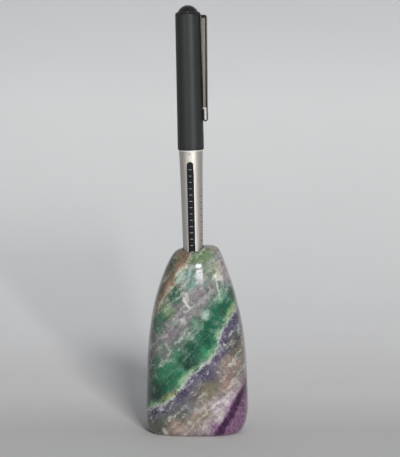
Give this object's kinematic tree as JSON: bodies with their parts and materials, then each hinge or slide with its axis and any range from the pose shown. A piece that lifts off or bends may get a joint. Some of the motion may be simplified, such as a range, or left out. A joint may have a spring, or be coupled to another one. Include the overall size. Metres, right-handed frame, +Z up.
{
  "type": "pen stand",
  "caption": "Tall rounded stone pen stand with a flat base and a drilled bore in its crown, holding a capped pen with an ink window and a spring clip.",
  "frame": {"origin": "middle of the stone's flat base", "axes": "+Z up, -Y towards the stone's broad front face where the pen's ink window shows, +X to its right"},
  "size_m": [0.0473, 0.0392, 0.1958],
  "materials": {
    "fluorite": "polished, banded green, grey and violet",
    "silver_metal": "satin",
    "clear_plastic": "clear, glossy",
    "grey_plastic": "satin",
    "tube_plastic": "translucent",
    "black_ink": "wet",
    "grease": "wet",
    "white_plastic": "satin",
    "point_steel": "turned",
    "ball_steel": "polished",
    "grip_plastic": "satin",
    "nose_metal": "satin",
    "charcoal_plastic": "matte",
    "liner_plastic": "translucent",
    "seal_rubber": "soft",
    "black_gloss": "glossy",
    "clip_steel": "satin"
  },
  "bodies": {
    "stand": {"stone_body": "fluorite"},
    "pen": {"barrel_sleeve": "silver_metal", "window_tube": "clear_plastic", "tail_plug": "grey_plastic"},
    "refill": {"ink_tube": "tube_plastic", "ink_follower": "grease", "ink": "black_ink", "tip_holder": "white_plastic", "writing_point": "point_steel"},
    "ball": {"point_ball": "ball_steel"},
    "section": {"grip_section": "grip_plastic", "nose_cone": "nose_metal"},
    "cap": {"cap_shell": "charcoal_plastic", "cap_liner": "liner_plastic", "tip_seal": "seal_rubber", "finial": "black_gloss"},
    "spring_clip": {"clip": "clip_steel"}
  },
  "joints": [
    {"name": "pen_lift", "type": "slide", "parent": "stand", "child": "pen", "axis": [-0.0218, 0, 0.9998], "range_m": [0, 0.045]},
    {"name": "refill_draw", "type": "slide", "parent": "pen", "child": "refill", "axis": [-0.0218, 0, 0.9998], "range_m": [0, 0.006]},
    {"name": "section_turn", "type": "hinge", "parent": "refill", "child": "section", "pos_m": [-0.00277, 0, 0.13498], "axis": [-0.0218, 0, 0.9998], "range_deg": [0, 1442]},
    {"name": "cap_pull", "type": "slide", "parent": "section", "child": "cap", "axis": [-0.0218, 0, 0.9998], "range_m": [0, 0.058]},
    {"name": "clip_flex", "type": "hinge", "parent": "cap", "child": "spring_clip", "pos_m": [0.00177, -0.00061, 0.19117], "axis": [-0.1045, -0.9945, -0.0023], "range_deg": [0, 4], "stiffness_Nm_per_rad": 1},
    {"name": "ball_roll", "type": "hinge", "parent": "refill", "child": "ball", "pos_m": [-0.00374, 0, 0.17939], "axis": [0.9943, -0.1045, 0.0217], "continuous": true}
  ],
  "couplings": [
    {"joint": "section_turn", "follows": "refill_draw", "rad_per_m": 4188.8}
  ]
}
